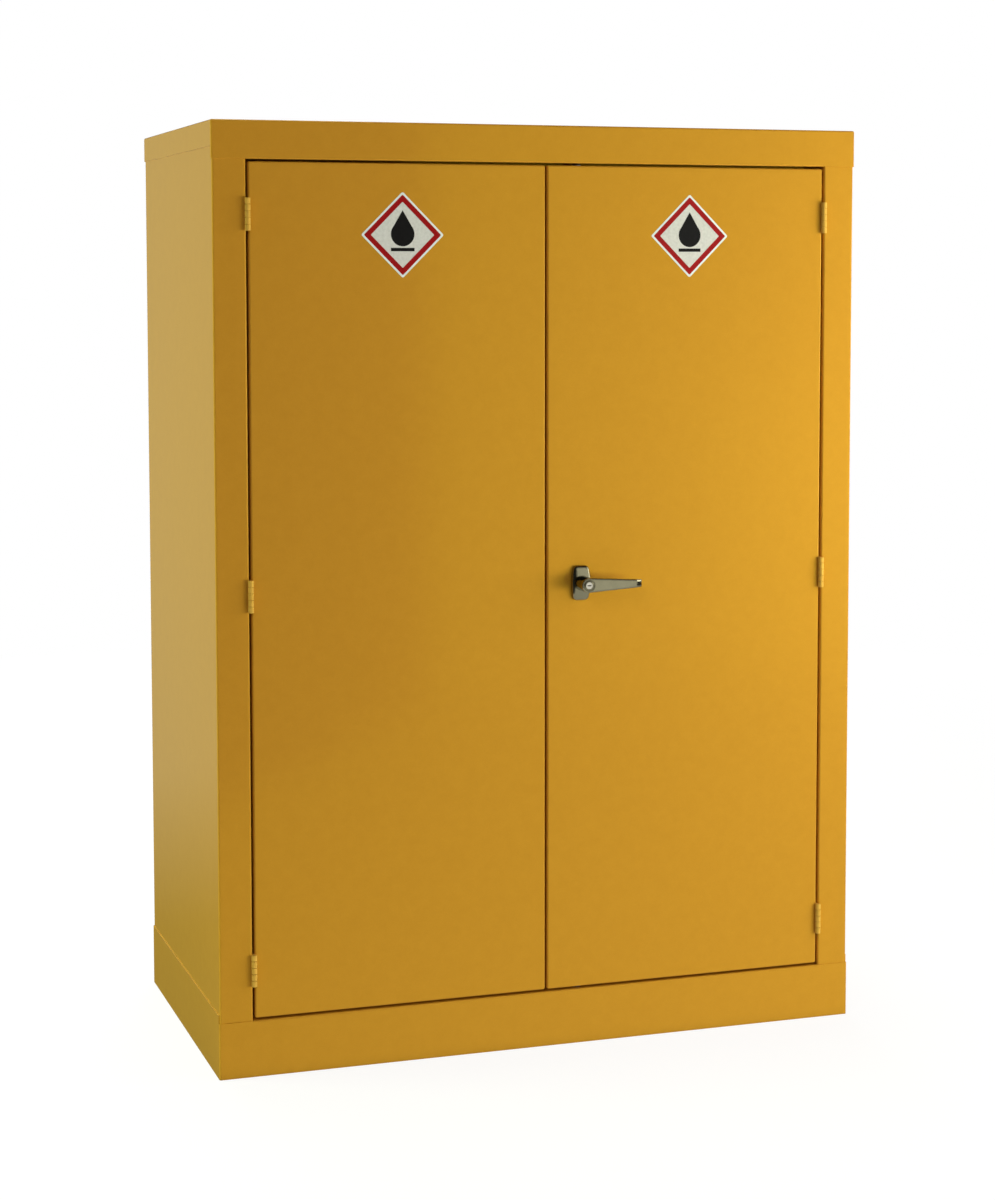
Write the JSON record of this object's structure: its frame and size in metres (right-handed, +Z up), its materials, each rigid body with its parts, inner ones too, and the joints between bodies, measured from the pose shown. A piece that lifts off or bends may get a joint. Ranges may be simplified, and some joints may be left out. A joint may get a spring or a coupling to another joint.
{
  "type": "flammable storage cabinet",
  "caption": "Yellow steel safety cabinet with flush double doors, butt hinges, a lever lock that drives two rods, spill-tray shelves and a liquid-tight sump.",
  "frame": {"origin": "centre of the footprint, on the floor plane that the plinth rests on", "axes": "+Z up, the doors face -Y, +X to the right of someone facing the doors"},
  "size_m": [0.9, 0.5053, 1.24],
  "materials": {
    "yellow_paint": "satin powder coat, fine orange peel",
    "hinge_paint": "satin paint over the steel hinge",
    "zinc_steel": "zinc-plated, satin",
    "chrome": "bright chrome plate",
    "brass": "turned brass, nickel flashed",
    "label": "printed vinyl label",
    "rubber": "matt"
  },
  "bodies": {
    "carcass": {"back_panel": "yellow_paint", "door_buffers": "rubber", "front_left_standard": "zinc_steel", "front_right_standard": "zinc_steel", "header_rail": "yellow_paint", "left_hinge_pins": "hinge_paint", "left_lower_frame_leaf": "hinge_paint", "left_middle_frame_leaf": "hinge_paint", "left_side_panel": "yellow_paint", "left_upper_frame_leaf": "hinge_paint", "lower_keeper": "zinc_steel", "lower_shelf": "zinc_steel", "lower_shelf_clips": "zinc_steel", "middle_shelf": "zinc_steel", "middle_shelf_clips": "zinc_steel", "plinth": "yellow_paint", "rear_left_standard": "zinc_steel", "rear_right_standard": "zinc_steel", "right_hinge_pins": "hinge_paint", "right_lower_frame_leaf": "hinge_paint", "right_middle_frame_leaf": "hinge_paint", "right_side_panel": "yellow_paint", "right_upper_frame_leaf": "hinge_paint", "standard_rivets": "zinc_steel", "sump_tray": "yellow_paint", "top_cap": "yellow_paint", "upper_keeper": "zinc_steel", "upper_shelf": "zinc_steel", "upper_shelf_clips": "zinc_steel"},
    "left_door": {"left_door_skin": "yellow_paint", "left_door_liner": "yellow_paint", "left_door_stiffener": "yellow_paint", "left_label": "label", "left_lower_door_leaf": "hinge_paint", "left_middle_door_leaf": "hinge_paint", "left_upper_door_leaf": "hinge_paint"},
    "right_door": {"right_door_skin": "yellow_paint", "right_door_liner": "yellow_paint", "right_door_stiffener": "yellow_paint", "right_label": "label", "right_lower_door_leaf": "hinge_paint", "right_middle_door_leaf": "hinge_paint", "right_upper_door_leaf": "hinge_paint", "handle_rosette": "chrome", "upper_rod_guides": "zinc_steel", "lower_rod_guides": "zinc_steel"},
    "lever": {"handle_lever": "chrome", "lock_cylinder": "chrome", "handle_spindle": "zinc_steel", "lock_cam": "zinc_steel", "cam_washer": "zinc_steel", "cam_nut": "zinc_steel"},
    "key_plug": {"key_plug": "brass"},
    "upper_rod": {"upper_rod": "zinc_steel"},
    "lower_rod": {"lower_rod": "zinc_steel"}
  },
  "joints": [
    {"name": "left_door_swing", "type": "hinge", "parent": "carcass", "child": "left_door", "pos_m": [-0.4035, -0.2371, 0.631], "axis": [0, 0, -1], "range_deg": [0, 175]},
    {"name": "right_door_swing", "type": "hinge", "parent": "carcass", "child": "right_door", "pos_m": [0.4035, -0.2371, 0.631], "axis": [0, 0, 1], "range_deg": [0, 175]},
    {"name": "lever_turn", "type": "hinge", "parent": "right_door", "child": "lever", "pos_m": [0.048, -0.2338, 0.6306], "axis": [0, 1, 0], "range_deg": [0, 90]},
    {"name": "key_turn", "type": "hinge", "parent": "lever", "child": "key_plug", "pos_m": [0.048, -0.2338, 0.6306], "axis": [0, 1, 0], "range_deg": [0, 90]},
    {"name": "upper_rod_slide", "type": "slide", "parent": "right_door", "child": "upper_rod", "axis": [0, 0, 1], "range_m": [0, 0.02263]},
    {"name": "lower_rod_slide", "type": "slide", "parent": "right_door", "child": "lower_rod", "axis": [0, 0, -1], "range_m": [0, 0.02263]}
  ],
  "couplings": [
    {"joint": "upper_rod_slide", "follows": "lever_turn", "m_per_rad": 0.014405},
    {"joint": "lower_rod_slide", "follows": "lever_turn", "m_per_rad": 0.014405}
  ]
}
